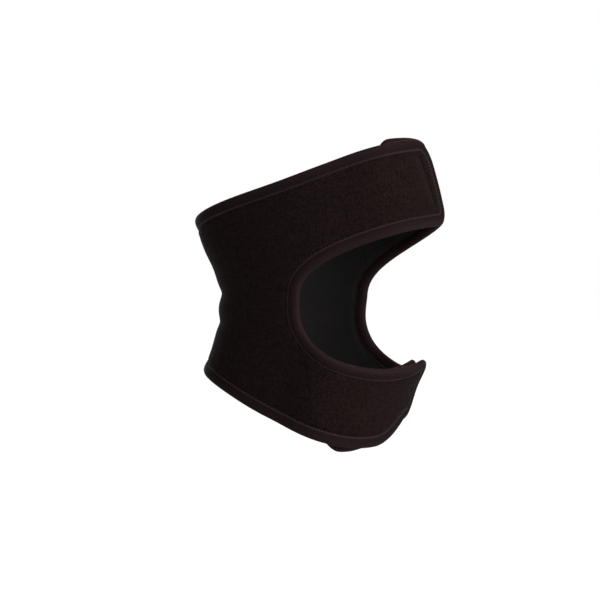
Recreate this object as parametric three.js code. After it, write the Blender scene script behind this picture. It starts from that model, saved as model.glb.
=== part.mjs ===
// Patella strap: a soft wrap with one strap above and one strap below its open front.
// It has the form in which it is worn, bent by about 45 degrees.
// Millimetres. +X is the open front, -Y the near side, +Z up.
// The origin is inside the wrap, in the middle of its section at the opening.
//
// Every point of the cloth has an angle and a share. The angle is in degrees from the open front,
// 90 at the near side, 180 at the back, 270 at the far side; it goes below 0 and above 360 where
// the straps lap. The share is 0 at the top edge and 1 at the bottom edge, and its sections tilt
// from the top to the bottom.

import * as THREE from "three";

// The worn form, under the cloth
const KNEE_DEPTH = 117.5; // front to back
const KNEE_WIDTH = 109; // side to side
const WRAP_HEIGHT = 160; // from the top edge to the bottom edge, at the front

// The panel
const WALL = 3.5; // foam rubber with a knit face on both sides
const EDGE_WALL = 2; // the same cloth where the tape and its stitches press it flat
const BEVEL = 2.5; // from the pressed edge to the full wall
const EDGE_ROUND = 0.6; // rounding of the cut edge
const UPPER_STRAP = 41; // width of the strap above the opening, at the front
const LOWER_STRAP = 41; // width of the strap below the opening, at the front
const LOWER_TAPER = 14; // how far the near lower strap's bottom edge rises to its end
const FOLD_DEPTH = 1.4; // of the deepest fold at the back
const RAMP = 28; // length over which a near strap climbs on to the far strap

// The trim
const TAPE_WIDTH = 5.1; // of each half of the folded edge tape
const TAPE_WALL = 0.7;
const TAPE_NOSE_FLAT = 0.6; // share of the folded tape's height that is flat at its nose
const HOOK_WALL = 1; // hook patch, backing and hooks
const HOOK_MARGIN = 1; // between a hook patch and the bevel round it
const CLEARANCE = 0.3; // between pieces that touch

// Mesh lengths
const CELL = 7.5; // along the edges and straps
const NOTCH_CELL = 4.6; // along the back end of the opening, and so across the folds

const RIM = TAPE_WIDTH + CLEARANCE + BEVEL; // from the cut edge to the full wall
const LEAST_CORNER = RIM + 1; // radius of a strap's corner, which the rim has to go round
const STRAP_LIFT = WALL + HOOK_WALL + 2 * CLEARANCE; // of a near strap that lies on a far one
const MM_PER_DEGREE = (Math.PI * (KNEE_DEPTH + KNEE_WIDTH + 2 * WALL)) / 2 / 360;

// Sections of the worn form, evenly spaced from the top edge to the bottom edge. Each lies in a plane
// from its back point to its front point. X is a share of KNEE_DEPTH, Z a share of WRAP_HEIGHT
// and halfWidth a share of KNEE_WIDTH.
const SECTIONS = [
  { name: "thigh", backX: -0.63, backZ: 0.228, frontX: 0.378, frontZ: 0.491, halfWidth: 0.505 },
  { name: "above knee", backX: -0.587, backZ: 0.138, frontX: 0.451, frontZ: 0.297, halfWidth: 0.509 },
  { name: "kneecap top", backX: -0.532, backZ: 0.056, frontX: 0.494, frontZ: 0.134, halfWidth: 0.509 },
  { name: "kneecap", backX: -0.502, backZ: -0.031, frontX: 0.498, frontZ: -0.012, halfWidth: 0.5 },
  { name: "kneecap base", backX: -0.511, backZ: -0.116, frontX: 0.437, frontZ: -0.153, halfWidth: 0.482 },
  { name: "shin top", backX: -0.545, backZ: -0.197, frontX: 0.312, frontZ: -0.319, halfWidth: 0.459 },
  { name: "shin", backX: -0.592, backZ: -0.281, frontX: 0.245, frontZ: -0.512, halfWidth: 0.44 },
];
const FRONT_POWER = 2.15; // of the superellipse: 2 is an ellipse, more is squarer
const BACK_POWER = 2.35;

// Folds in the hollow at the back. Depth is a share of FOLD_DEPTH, negative where the cloth
// rolls out; at and halfHeight are shares of the height, and reach is in degrees from the back.
const FOLDS = [
  { name: "upper crease", at: 0.47, depth: 0.93, halfHeight: 0.045, reach: 45 },
  { name: "roll", at: 0.57, depth: -1, halfHeight: 0.055, reach: 45 },
  { name: "lower crease", at: 0.675, depth: 0.86, halfHeight: 0.045, reach: 45 },
];

// The panel's two long edges, as shares of the height at every 45 degrees
const EDGES = [
  { angle: -45, top: 0.006, bottom: 0.95 },
  { angle: 0, top: 0.004, bottom: 0.98 },
  { angle: 45, top: 0.007, bottom: 1.036 },
  { angle: 90, top: 0.016, bottom: 1.037 },
  { angle: 135, top: -0.002, bottom: 1.008 },
  { angle: 180, top: -0.006, bottom: 1 },
  { angle: 225, top: -0.002, bottom: 1.005 },
  { angle: 270, top: 0.016, bottom: 1.02 },
  { angle: 315, top: 0.008, bottom: 0.98 },
  { angle: 360, top: -0.005, bottom: 0.965 },
  { angle: 405, top: -0.014, bottom: 1.058 },
  { angle: 450, top: -0.014, bottom: 1.065 },
];

// The opening: a squared oval round the front
const OPENING = {
  halfAngle: 91.5, // from the front to its back end, on both sides
  centre: 0.5, // share of the height
  topPower: 2.2,
  bottomPower: 2.8,
  sideDip: 0.078, // how much lower the bottom edge hangs at the sides, as a share of the height
  farRise: 0.028, // how much higher the top edge is on the far side
  farDrop: 0.018, // how much lower the bottom edge is on the far side
};
const STRAP_ROOT = 84; // angle at which straps and back panel meet
const TAPER_FROM = 25; // angle at which the near lower strap starts to narrow
const TAPER_POWER = 1.6;

// The straps' ends. Corner radii are shares of the strap's width.
const STRAPS = {
  nearUpper: { end: 2, side: 1, width: UPPER_STRAP, outerCorner: 0.3, innerCorner: 0.22 },
  farUpper: { end: 397, side: -1, width: UPPER_STRAP, outerCorner: 0.22, innerCorner: 0.22 },
  nearLower: { end: -8, side: 1, width: LOWER_STRAP, outerCorner: 0.25, innerCorner: 0.22 },
  farLower: { end: 419, side: -1, width: LOWER_STRAP, outerCorner: 0.34, innerCorner: 0.22 },
};

// A smooth curve through evenly spaced values, read at a share of its length. Past either end it
// runs on straight.
function smoothRow(values, share) {
  const last = values.length - 1;
  const along = share * last;
  const i = THREE.MathUtils.clamp(Math.floor(along), 0, last - 1);
  const t = along - i;
  const step = values[i + 1] - values[i];
  if (t < 0 || t > 1) return values[i] + step * t;
  const slopeIn = i > 0 ? (values[i + 1] - values[i - 1]) / 2 : step;
  const slopeOut = i < last - 1 ? (values[i + 2] - values[i]) / 2 : step;
  const ease = t * t * (3 - 2 * t);
  return values[i] + step * ease + t * (1 - t) * ((1 - t) * slopeIn - t * slopeOut);
}

function sectionAt(share) {
  const column = (key, size) => size * smoothRow(SECTIONS.map((row) => row[key]), share);
  return {
    back: new THREE.Vector3(column("backX", KNEE_DEPTH), 0, column("backZ", WRAP_HEIGHT)),
    front: new THREE.Vector3(column("frontX", KNEE_DEPTH), 0, column("frontZ", WRAP_HEIGHT)),
    halfWidth: column("halfWidth", KNEE_WIDTH),
  };
}

function foldDepth(angle, share) {
  const fromBack = Math.abs(THREE.MathUtils.euclideanModulo(angle, 360) - 180);
  const bell = (x) => Math.exp(-x * x);
  const depthOf = (fold) =>
    FOLD_DEPTH * fold.depth * bell((share - fold.at) / fold.halfHeight) * bell(fromBack / fold.reach);
  return FOLDS.reduce((sum, fold) => sum + depthOf(fold), 0);
}

// The worn form, which is the inner face of the cloth where no strap is lifted
function wornForm(angle, share) {
  const { back, front, halfWidth } = sectionAt(share);
  const a = THREE.MathUtils.degToRad(angle);
  const power = THREE.MathUtils.lerp(BACK_POWER, FRONT_POWER, (1 + Math.cos(a)) / 2);
  const oval = (Math.abs(Math.cos(a)) ** power + Math.abs(Math.sin(a)) ** power) ** (-1 / power);
  const radius = oval * (1 - foldDepth(angle, share) / (KNEE_DEPTH / 2));
  const point = front.clone().sub(back).multiplyScalar((Math.cos(a) * radius) / 2);
  point.add(back.add(front).multiplyScalar(0.5));
  point.y = -halfWidth * Math.sin(a) * radius;
  return point;
}

// Changes of a surface function for one degree and for one whole share
function slopes(surface, angle, share) {
  const turn = 0.2;
  const drop = 0.001;
  const between = (high, low, width) => high.sub(low).divideScalar(width);
  return {
    perDegree: between(surface(angle + turn, share), surface(angle - turn, share), 2 * turn),
    perShare: between(surface(angle, share + drop), surface(angle, share - drop), 2 * drop),
  };
}

function outward(angle, share) {
  const { perDegree, perShare } = slopes(wornForm, angle, share);
  return perDegree.cross(perShare).normalize();
}

// Height of the cloth's inner face over the worn form: a near strap climbs on to the far strap's end
function lift(angle, share) {
  const farStrap = share < OPENING.centre ? STRAPS.farUpper : STRAPS.farLower;
  const start = farStrap.end - 360 + (CLEARANCE + TAPE_WALL) / MM_PER_DEGREE;
  const ease = THREE.MathUtils.smoothstep(angle, start, start + RAMP / MM_PER_DEGREE);
  return STRAP_LIFT * (1 - ease);
}

// A point at a height over the middle of the cloth's wall
function place(angle, share, level) {
  const height = lift(angle, share) + WALL / 2 + level;
  return wornForm(angle, share).addScaledVector(outward(angle, share), height);
}

const middle = (angle, share) => place(angle, share, 0);

// One of the panel's edges, as a share of the height at an angle
function edgeRow(key, angle) {
  const first = EDGES[0].angle;
  const last = EDGES[EDGES.length - 1].angle;
  return smoothRow(EDGES.map((row) => row[key]), (angle - first) / (last - first));
}

const topEdge = (angle) => edgeRow("top", angle);

// The near lower strap's bottom edge rises towards its end
function bottomEdge(angle) {
  const along = Math.max(0, (TAPER_FROM - angle) / (TAPER_FROM - STRAPS.nearLower.end));
  return edgeRow("bottom", angle) - (LOWER_TAPER / WRAP_HEIGHT) * along ** TAPER_POWER;
}

// How far an angle is on its way from the front to the opening's back end, from 0 to 1
function openingReach(angle) {
  const fromFront = Math.abs(angle > 180 ? 360 - angle : angle);
  return Math.min(fromFront / OPENING.halfAngle, 1);
}

const squaredOval = (reach, power) => (1 - reach ** power) ** (1 / power);

function openingTop(angle) {
  const rise = OPENING.centre - UPPER_STRAP / WRAP_HEIGHT + (angle > 180 ? OPENING.farRise : 0);
  return OPENING.centre - rise * squaredOval(openingReach(angle), OPENING.topPower);
}

function openingBottom(angle) {
  const reach = openingReach(angle);
  const atFront = 1 - OPENING.centre - LOWER_STRAP / WRAP_HEIGHT + (angle > 180 ? OPENING.farDrop : 0);
  const drop = atFront + OPENING.sideDip * (1 - (1 - reach) ** 2);
  return OPENING.centre + drop * squaredOval(reach, OPENING.bottomPower);
}

// Runs of the outline. Each is a list of points (angle, share).

const STEPS = 40; // points of a run before it is spread out evenly

function edgeRun(edge, from, to) {
  return Array.from({ length: STEPS + 1 }, (_, k) => {
    const angle = THREE.MathUtils.lerp(from, to, k / STEPS);
    return new THREE.Vector2(angle, edge(angle));
  });
}

// Half of a strap's rounded corner, from its middle to the edge or to the strap's end. below is 1
// where the strap lies below the edge and -1 where it lies above it.
function halfCorner(strap, edge, cornerShare, below, toEnd) {
  const radius = Math.max(cornerShare * strap.width, LEAST_CORNER);
  const wide = (strap.side * radius) / MM_PER_DEGREE;
  const high = (below * radius) / WRAP_HEIGHT;
  const share = edge(strap.end + wide);
  return Array.from({ length: STEPS + 1 }, (_, k) => {
    const a = (Math.PI / 4) * (1 + (toEnd ? -k : k) / STEPS);
    return new THREE.Vector2(strap.end + wide * (1 - Math.cos(a)), share + high * (1 - Math.sin(a)));
  });
}

// A strap's three runs, each starting at the outer or inner corner's middle
function strapRuns(strap, outer, inner) {
  const root = strap.side > 0 ? STRAP_ROOT : 360 - STRAP_ROOT;
  const below = outer === topEdge ? 1 : -1;
  const long = (edge, cornerShare, side) => {
    const corner = halfCorner(strap, edge, cornerShare, side, false);
    return corner.concat(edgeRun(edge, corner[STEPS].x, root).slice(1));
  };
  const endDown = halfCorner(strap, outer, strap.outerCorner, below, true);
  const endUp = halfCorner(strap, inner, strap.innerCorner, -below, true);
  return {
    outer: long(outer, strap.outerCorner, below),
    end: endDown.concat(endUp.reverse()),
    inner: long(inner, strap.innerCorner, -below),
  };
}

// The back end of the opening, from its top edge to its bottom edge
function notchRun(far) {
  return Array.from({ length: STEPS + 1 }, (_, k) => {
    const swing = Math.sin((Math.PI * k) / STEPS);
    const reach = THREE.MathUtils.lerp(STRAP_ROOT, OPENING.halfAngle, swing);
    const angle = far ? 360 - reach : reach;
    return new THREE.Vector2(angle, k < STEPS / 2 ? openingTop(angle) : openingBottom(angle));
  });
}

const lengths = (run) => {
  const points = run.map((p) => middle(p.x, p.y));
  return points.slice(1).map((p, k) => p.distanceTo(points[k]));
};
const runLength = (run) => lengths(run).reduce((sum, length) => sum + length, 0);
const cells = (length, cell) => Math.max(2, Math.round(length / cell));

// The same run with evenly spaced points, one more than the number of its cells
function spread(run, count) {
  const steps = lengths(run);
  const total = runLength(run);
  const points = [run[0]];
  let k = 0;
  let passed = 0;
  for (let n = 1; n < count; n++) {
    const target = (total * n) / count;
    while (passed + steps[k] < target) {
      passed += steps[k];
      k += 1;
    }
    points.push(run[k].clone().lerp(run[k + 1], (target - passed) / steps[k]));
  }
  points.push(run[run.length - 1]);
  return points;
}

// The outline as named runs, in order round the panel with the cloth on the left
function outlineRuns() {
  const nearUpper = strapRuns(STRAPS.nearUpper, topEdge, openingTop);
  const farUpper = strapRuns(STRAPS.farUpper, topEdge, openingTop);
  const nearLower = strapRuns(STRAPS.nearLower, bottomEdge, openingBottom);
  const farLower = strapRuns(STRAPS.farLower, bottomEdge, openingBottom);
  const back = edgeRun(topEdge, STRAP_ROOT, 360 - STRAP_ROOT);
  const notch = notchRun(false);

  const nearUpperCells = cells(runLength(nearUpper.outer), CELL);
  const farUpperCells = cells(runLength(farUpper.outer), CELL);
  const nearLowerCells = cells(runLength(nearLower.outer), CELL);
  const farLowerCells = cells(runLength(farLower.outer), CELL);
  const upperEndCells = cells(UPPER_STRAP, CELL) + 1;
  const lowerEndCells = cells(LOWER_STRAP, CELL) + 1;
  const backCells = cells(runLength(back), CELL);
  const notchCells = cells(runLength(notch), NOTCH_CELL);

  const reversed = (run) => run.slice().reverse();
  return {
    topNear: spread(nearUpper.outer, nearUpperCells),
    topBack: spread(back, backCells),
    topFar: spread(reversed(farUpper.outer), farUpperCells),
    endFarUpper: spread(farUpper.end, upperEndCells),
    lowFarUpper: spread(farUpper.inner, farUpperCells),
    notchFar: spread(notchRun(true), notchCells),
    upFarLower: spread(reversed(farLower.inner), farLowerCells),
    endFarLower: spread(reversed(farLower.end), lowerEndCells),
    bottomFar: spread(farLower.outer, farLowerCells),
    bottomBack: spread(edgeRun(bottomEdge, 360 - STRAP_ROOT, STRAP_ROOT), backCells),
    bottomNear: spread(reversed(nearLower.outer), nearLowerCells),
    endNearLower: spread(nearLower.end, lowerEndCells),
    upNearLower: spread(nearLower.inner, nearLowerCells),
    notchNear: spread(reversed(notch), notchCells),
    lowNearUpper: spread(reversed(nearUpper.inner), nearUpperCells),
    endNearUpper: spread(reversed(nearUpper.end), upperEndCells),
  };
}

// The change of (angle, share) that goes 1 mm into the cloth, for each point of the closed outline
function inwardSteps(loop) {
  const points = loop.map((p) => middle(p.x, p.y));
  return loop.map((p, k) => {
    const before = points[(k + points.length - 1) % points.length];
    const after = points[(k + 1) % points.length];
    const here = points[k];
    const ahead = after.clone().sub(here).normalize();
    const along = here.clone().sub(before).normalize().add(ahead).normalize();
    const { perDegree, perShare } = slopes(middle, p.x, p.y);
    const inward = perDegree.clone().cross(perShare).normalize().cross(along);
    const dd = perDegree.dot(perDegree);
    const ds = perDegree.dot(perShare);
    const ss = perShare.dot(perShare);
    const byDegree = perDegree.dot(inward);
    const byShare = perShare.dot(inward);
    const scale = dd * ss - ds * ds;
    const turn = (byDegree * ss - byShare * ds) / scale;
    const drop = (byShare * dd - byDegree * ds) / scale;
    return new THREE.Vector2(turn, drop);
  });
}

const inset = (loop, steps, depth) => loop.map((p, k) => p.clone().addScaledVector(steps[k], depth));

// A grid between four runs that share their corners. left and right go down, top and bottom go
// round, and the grid's outer points are the runs' own.
function patch(top, bottom, left, right) {
  const columns = top.length - 1;
  const rows = left.length - 1;
  const sum = (parts) =>
    parts.reduce((total, [point, weight]) => total.addScaledVector(point, weight), new THREE.Vector2());
  return top.map((_, i) =>
    left.map((__, j) => {
      if (j === 0) return top[i];
      if (j === rows) return bottom[i];
      if (i === 0) return left[j];
      if (i === columns) return right[j];
      const u = i / columns;
      const v = j / rows;
      return sum([
        [top[i], 1 - v], [bottom[i], v], [left[j], 1 - u], [right[j], u],
        [top[0], -(1 - u) * (1 - v)], [top[columns], -u * (1 - v)],
        [bottom[0], -(1 - u) * v], [bottom[columns], -u * v],
      ]);
    })
  );
}

function straight(from, to, count) {
  const between = (k) => (k === 0 ? from : k === count ? to : from.clone().lerp(to, k / count));
  return Array.from({ length: count + 1 }, (_, k) => between(k));
}

// A closed body that is put together from points and four-sided faces
class Body {
  points = [];
  faces = [];

  point(position) {
    this.points.push(position.x, position.y, position.z);
    return this.points.length / 3 - 1;
  }

  face(a, b, c, d) {
    this.faces.push(a, b, c, a, c, d);
  }

  mesh(name, colour, roughness) {
    const geometry = new THREE.BufferGeometry();
    geometry.setAttribute("position", new THREE.Float32BufferAttribute(this.points, 3));
    geometry.setIndex(this.faces);
    geometry.computeVertexNormals();
    const mesh = new THREE.Mesh(geometry, new THREE.MeshStandardMaterial({ color: colour, roughness }));
    mesh.name = name;
    return mesh;
  }
}

// A function that gives the number of an outline or grid point in a body, on side 1 or -1. The
// point is added once, at the position that positionOf gives for it.
function sharedVertices(body, positionOf) {
  const numbers = { 1: new Map(), "-1": new Map() };
  return (p, side) => {
    if (!numbers[side].has(p)) numbers[side].set(p, body.point(positionOf(p, side)));
    return numbers[side].get(p);
  };
}

// Faces of a grid on both sides of the cloth
function coverGrid(body, grid, vertex) {
  for (let i = 0; i + 1 < grid.length; i++) {
    for (let j = 0; j + 1 < grid[i].length; j++) {
      const corners = [grid[i][j], grid[i + 1][j], grid[i + 1][j + 1], grid[i][j + 1]];
      body.face(...corners.map((p) => vertex(p, 1)));
      body.face(...corners.map((p) => vertex(p, -1)).reverse());
    }
  }
}

// The panel, cut in one piece
function wrapPanel(runs, loop, steps) {
  const body = new Body();
  const rim = inset(loop, steps, RIM);

  // Runs of the rim's inner edge, which the grids share
  const inner = {};
  let start = 0;
  for (const [name, run] of Object.entries(runs)) {
    inner[name] = run.map((_, k) => rim[(start + k) % rim.length]);
    start += run.length - 1;
  }
  const back = (name) => inner[name].slice().reverse();
  const lastOf = (run) => run[run.length - 1];
  const root = (from, to, end) => straight(from, to, inner[end].length - 1);
  const roots = {
    nearUpper: root(lastOf(inner.topNear), inner.lowNearUpper[0], "endNearUpper"),
    farUpper: root(inner.topFar[0], lastOf(inner.lowFarUpper), "endFarUpper"),
    nearLower: root(lastOf(inner.upNearLower), inner.bottomNear[0], "endNearLower"),
    farLower: root(inner.upFarLower[0], lastOf(inner.bottomFar), "endFarLower"),
  };
  const waist = (from, to) => straight(from, to, inner.topBack.length - 1);
  const upperWaist = waist(lastOf(roots.nearUpper), lastOf(roots.farUpper));
  const lowerWaist = waist(roots.nearLower[0], roots.farLower[0]);

  const grids = [
    patch(inner.topNear, back("lowNearUpper"), back("endNearUpper"), roots.nearUpper),
    patch(inner.topBack, upperWaist, roots.nearUpper, roots.farUpper),
    patch(inner.topFar, back("lowFarUpper"), roots.farUpper, inner.endFarUpper),
    patch(upperWaist, lowerWaist, back("notchNear"), inner.notchFar),
    patch(inner.upNearLower, back("bottomNear"), back("endNearLower"), roots.nearLower),
    patch(lowerWaist, back("bottomBack"), roots.nearLower, roots.farLower),
    patch(inner.upFarLower, back("bottomFar"), roots.farLower, inner.endFarLower),
  ];
  const vertex = sharedVertices(body, (p, side) => place(p.x, p.y, (side * WALL) / 2));
  grids.forEach((grid) => coverGrid(body, grid, vertex));

  // The rim: the cut edge, the stretch pressed flat under the tape and the bevel
  const ring = (depth, level) => {
    const points = inset(loop, steps, depth);
    return points.map((p) => body.point(place(p.x, p.y, level)));
  };
  const cut = ring(0, 0);
  const join = (outer, deeper, side) => {
    outer.forEach((a, k) => {
      const next = (k + 1) % outer.length;
      const corners = [a, outer[next], deeper[next], deeper[k]];
      body.face(...(side > 0 ? corners : corners.reverse()));
    });
  };
  for (const side of [1, -1]) {
    const rounded = ring(EDGE_ROUND, (side * EDGE_WALL) / 2);
    const pressed = ring(RIM - BEVEL, (side * EDGE_WALL) / 2);
    const full = rim.map((p) => vertex(p, side));
    join(cut, rounded, side);
    join(rounded, pressed, side);
    join(pressed, full, side);
  }
  return body.mesh("wrap_panel", "#1b1719", 0.95);
}

// The edge tape, folded over the cut edge as one closed loop
function edgeBinding(loop, steps) {
  const body = new Body();
  const inside = EDGE_WALL / 2 + CLEARANCE;
  const outside = inside + TAPE_WALL;
  const nose = CLEARANCE + TAPE_WALL;
  const section = [
    { depth: TAPE_WIDTH, level: outside },
    { depth: -CLEARANCE, level: outside },
    { depth: -nose, level: TAPE_NOSE_FLAT * outside },
    { depth: -nose, level: -TAPE_NOSE_FLAT * outside },
    { depth: -CLEARANCE, level: -outside },
    { depth: TAPE_WIDTH, level: -outside },
    { depth: TAPE_WIDTH, level: -inside },
    { depth: -CLEARANCE, level: -inside },
    { depth: -CLEARANCE, level: inside },
    { depth: TAPE_WIDTH, level: inside },
  ];
  const rings = section.map(({ depth, level }) =>
    inset(loop, steps, depth).map((p) => body.point(place(p.x, p.y, level)))
  );
  rings.forEach((ring, s) => {
    const following = rings[(s + 1) % rings.length];
    ring.forEach((a, k) => {
      const next = (k + 1) % ring.length;
      body.face(a, following[k], following[next], ring[next]);
    });
  });
  return body.mesh("edge_binding", "#242124", 0.8);
}

// A hook patch between a near strap and the far strap under it, clear of both their rims
function hookPatch(name, near, far, top, bottom) {
  const body = new Body();
  const margin = RIM + HOOK_MARGIN;
  const from = near.end + margin / MM_PER_DEGREE;
  const to = far.end - 360 - margin / MM_PER_DEGREE;
  const columns = cells((to - from) * MM_PER_DEGREE, CELL);
  const rows = cells(near.width - 2 * margin, CELL);
  const grid = Array.from({ length: columns + 1 }, (_, i) => {
    const angle = THREE.MathUtils.lerp(from, to, i / columns);
    const high = Math.max(top(angle), top(angle + 360)) + margin / WRAP_HEIGHT;
    const low = Math.min(bottom(angle), bottom(angle + 360)) - margin / WRAP_HEIGHT;
    return Array.from({ length: rows + 1 }, (__, j) =>
      new THREE.Vector2(angle, THREE.MathUtils.lerp(high, low, j / rows)));
  });
  const vertex = sharedVertices(body, (p, side) => {
    const height = WALL + CLEARANCE + (side > 0 ? HOOK_WALL : 0);
    return wornForm(p.x, p.y).addScaledVector(outward(p.x, p.y), height);
  });
  coverGrid(body, grid, vertex);
  const rim = [
    ...grid.map((column) => column[0]),
    ...grid[columns].slice(1),
    ...grid.slice(0, -1).reverse().map((column) => column[rows]),
    ...grid[0].slice(1, -1).reverse(),
  ];
  rim.forEach((p, k) => {
    const next = rim[(k + 1) % rim.length];
    body.face(vertex(next, 1), vertex(p, 1), vertex(p, -1), vertex(next, -1));
  });
  return body.mesh(name, "#141214", 0.9);
}

const runs = outlineRuns();
const loop = Object.values(runs).flatMap((run) => run.slice(0, -1));
const steps = inwardSteps(loop);

const wrap = new THREE.Group();
wrap.add(wrapPanel(runs, loop, steps));
wrap.add(edgeBinding(loop, steps));
wrap.add(hookPatch("upper_hook_patch", STRAPS.nearUpper, STRAPS.farUpper, topEdge, openingTop));
wrap.add(hookPatch("lower_hook_patch", STRAPS.nearLower, STRAPS.farLower, openingBottom, bottomEdge));
export default wrap;
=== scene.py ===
"""A worn patella strap: brushed foam rubber cloth, ribbed edge tape and barred stitches.

Shapes are worked out in millimetres, on the same worn form as the frame's own solids, and go into
their meshes in metres. +X is the open front, -Y the near side, +Z up.

Every point of the cloth has an angle and a share. The angle is in degrees from the open front, 90
at the near side, 180 at the back, 270 at the far side; it goes below 0 and above 360 where the
straps lap. The share is 0 at the top edge and 1 at the bottom edge.
"""

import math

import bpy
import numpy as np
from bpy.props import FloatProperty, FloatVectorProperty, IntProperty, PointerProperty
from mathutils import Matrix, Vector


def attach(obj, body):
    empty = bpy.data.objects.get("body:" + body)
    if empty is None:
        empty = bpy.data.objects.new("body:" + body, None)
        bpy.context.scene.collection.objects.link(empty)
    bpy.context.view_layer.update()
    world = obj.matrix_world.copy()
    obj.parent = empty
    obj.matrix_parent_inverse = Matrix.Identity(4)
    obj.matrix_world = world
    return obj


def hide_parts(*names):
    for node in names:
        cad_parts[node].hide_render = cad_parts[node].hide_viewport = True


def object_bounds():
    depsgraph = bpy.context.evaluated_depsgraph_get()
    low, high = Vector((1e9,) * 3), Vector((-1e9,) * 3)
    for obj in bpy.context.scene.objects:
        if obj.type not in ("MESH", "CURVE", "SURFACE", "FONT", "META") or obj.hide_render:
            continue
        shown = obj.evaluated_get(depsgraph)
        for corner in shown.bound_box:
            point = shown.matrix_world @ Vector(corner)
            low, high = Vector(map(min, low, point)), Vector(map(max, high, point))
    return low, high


bl_info = {
    "name": "Patella strap",
    "version": (1, 0, 0),
    "blender": (4, 5, 0),
    "location": "View3D > Sidebar > Patella strap",
    "description": "Makes a worn patella strap of foam rubber cloth, with its tape, stitches and stage",
    "category": "Object",
}

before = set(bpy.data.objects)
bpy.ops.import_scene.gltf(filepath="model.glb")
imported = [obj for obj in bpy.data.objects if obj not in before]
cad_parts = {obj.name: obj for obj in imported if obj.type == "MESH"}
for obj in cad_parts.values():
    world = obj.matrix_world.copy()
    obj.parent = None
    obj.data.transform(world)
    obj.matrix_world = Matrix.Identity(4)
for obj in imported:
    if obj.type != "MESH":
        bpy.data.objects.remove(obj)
cad_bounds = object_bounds()

MM = 0.001  # metres

# The worn form, under the cloth, in mm
KNEE_DEPTH = 117.5
KNEE_WIDTH = 109
WRAP_HEIGHT = 160

# The panel, in mm
WALL = 3.5
EDGE_WALL = 2
BEVEL = 2.5
UPPER_STRAP = 41
LOWER_STRAP = 41
LOWER_TAPER = 14  # how far the near lower strap's bottom edge rises to its end
FOLD_DEPTH = 1.4  # of the deepest fold at the back
RAMP = 28  # length over which a near strap climbs on to the far strap

# The trim, in mm
TAPE_WIDTH = 5.1
TAPE_WALL = 0.7
HOOK_WALL = 1
CLEARANCE = 0.3

RIM = TAPE_WIDTH + CLEARANCE + BEVEL
STRAP_LIFT = WALL + HOOK_WALL + 2 * CLEARANCE
TAPE_FOLD = CLEARANCE + TAPE_WALL  # from the cut edge to the tape's fold
TAPE_ROUND = 0.45 * TAPE_WIDTH  # from the cut edge to where the tape starts to round over
TAPE_POWER = 2.3  # of its round: 2 is an ellipse, more is squarer
TAPE_PRESSED = 0.5  # share of the tape's wall by which the stitches press its edge
TAPE_RISE_POWER = 0.7  # below 1, the tape rises steeply beyond the stitches
TAPE_INSIDE_GAP = 0.04  # between the cloth and the tape's inside
JOIN_HEIGHT = 0.3  # of the tape's lap over its single wall
JOIN_EASE = 0.6  # half the length over which the lap rises
MM_PER_DEGREE = math.pi * (KNEE_DEPTH + KNEE_WIDTH + 2 * WALL) / 2 / 360

# Sections of the worn form, evenly spaced from the top edge to the bottom edge: X and Z of the back
# point and of the front point, as shares of KNEE_DEPTH and WRAP_HEIGHT, and half the width, as a
# share of KNEE_WIDTH
SECTIONS = {
    "thigh": {"back": (-0.63, 0.228), "front": (0.378, 0.491), "half_width": 0.505},
    "above knee": {"back": (-0.587, 0.138), "front": (0.451, 0.297), "half_width": 0.509},
    "kneecap top": {"back": (-0.532, 0.056), "front": (0.494, 0.134), "half_width": 0.509},
    "kneecap": {"back": (-0.502, -0.031), "front": (0.498, -0.012), "half_width": 0.5},
    "kneecap base": {"back": (-0.511, -0.116), "front": (0.437, -0.153), "half_width": 0.482},
    "shin top": {"back": (-0.545, -0.197), "front": (0.312, -0.319), "half_width": 0.459},
    "shin": {"back": (-0.592, -0.281), "front": (0.245, -0.512), "half_width": 0.44},
}
FRONT_POWER = 2.15  # of the superellipse: 2 is an ellipse, more is squarer
BACK_POWER = 2.35

# Folds in the hollow at the back: depth is a share of FOLD_DEPTH, at and half_height are
# shares of the height, and reach is in degrees from the back
FOLDS = {
    "upper crease": {"at": 0.47, "depth": 0.93, "half_height": 0.045, "reach": 45},
    "roll": {"at": 0.57, "depth": -1, "half_height": 0.055, "reach": 45},
    "lower crease": {"at": 0.675, "depth": 0.86, "half_height": 0.045, "reach": 45},
}

# The panel's two long edges, as shares of the height at every 45 degrees from the first angle
EDGES_FROM = -45
EDGES_TO = 450
TOP_EDGE = [0.006, 0.004, 0.007, 0.016, -0.002, -0.006, -0.002, 0.016, 0.008, -0.005, -0.014, -0.014]
BOTTOM_EDGE = [0.95, 0.98, 1.036, 1.037, 1.008, 1, 1.005, 1.02, 0.98, 0.965, 1.058, 1.065]

# The opening at the front: a squared oval, with angles in degrees and shares of the height
OPENING_HALF_ANGLE = 91.5
OPENING_CENTRE = 0.5
OPENING_TOP_POWER = 2.2
OPENING_BOTTOM_POWER = 2.8
OPENING_SIDE_DIP = 0.078
OPENING_FAR_RISE = 0.028
OPENING_FAR_DROP = 0.018
STRAP_ROOT = 84  # angle at which straps and back panel meet
TAPER_FROM = 25  # angle at which the near lower strap starts to narrow
TAPER_POWER = 1.6

# The straps' ends. Corner radii are shares of the strap's width.
STRAPS = {
    "near upper": {"end": 2, "side": 1, "width": UPPER_STRAP, "outer": 0.3, "inner": 0.22},
    "far upper": {"end": 397, "side": -1, "width": UPPER_STRAP, "outer": 0.22, "inner": 0.22},
    "near lower": {"end": -8, "side": 1, "width": LOWER_STRAP, "outer": 0.25, "inner": 0.22},
    "far lower": {"end": 419, "side": -1, "width": LOWER_STRAP, "outer": 0.34, "inner": 0.22},
}

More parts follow.
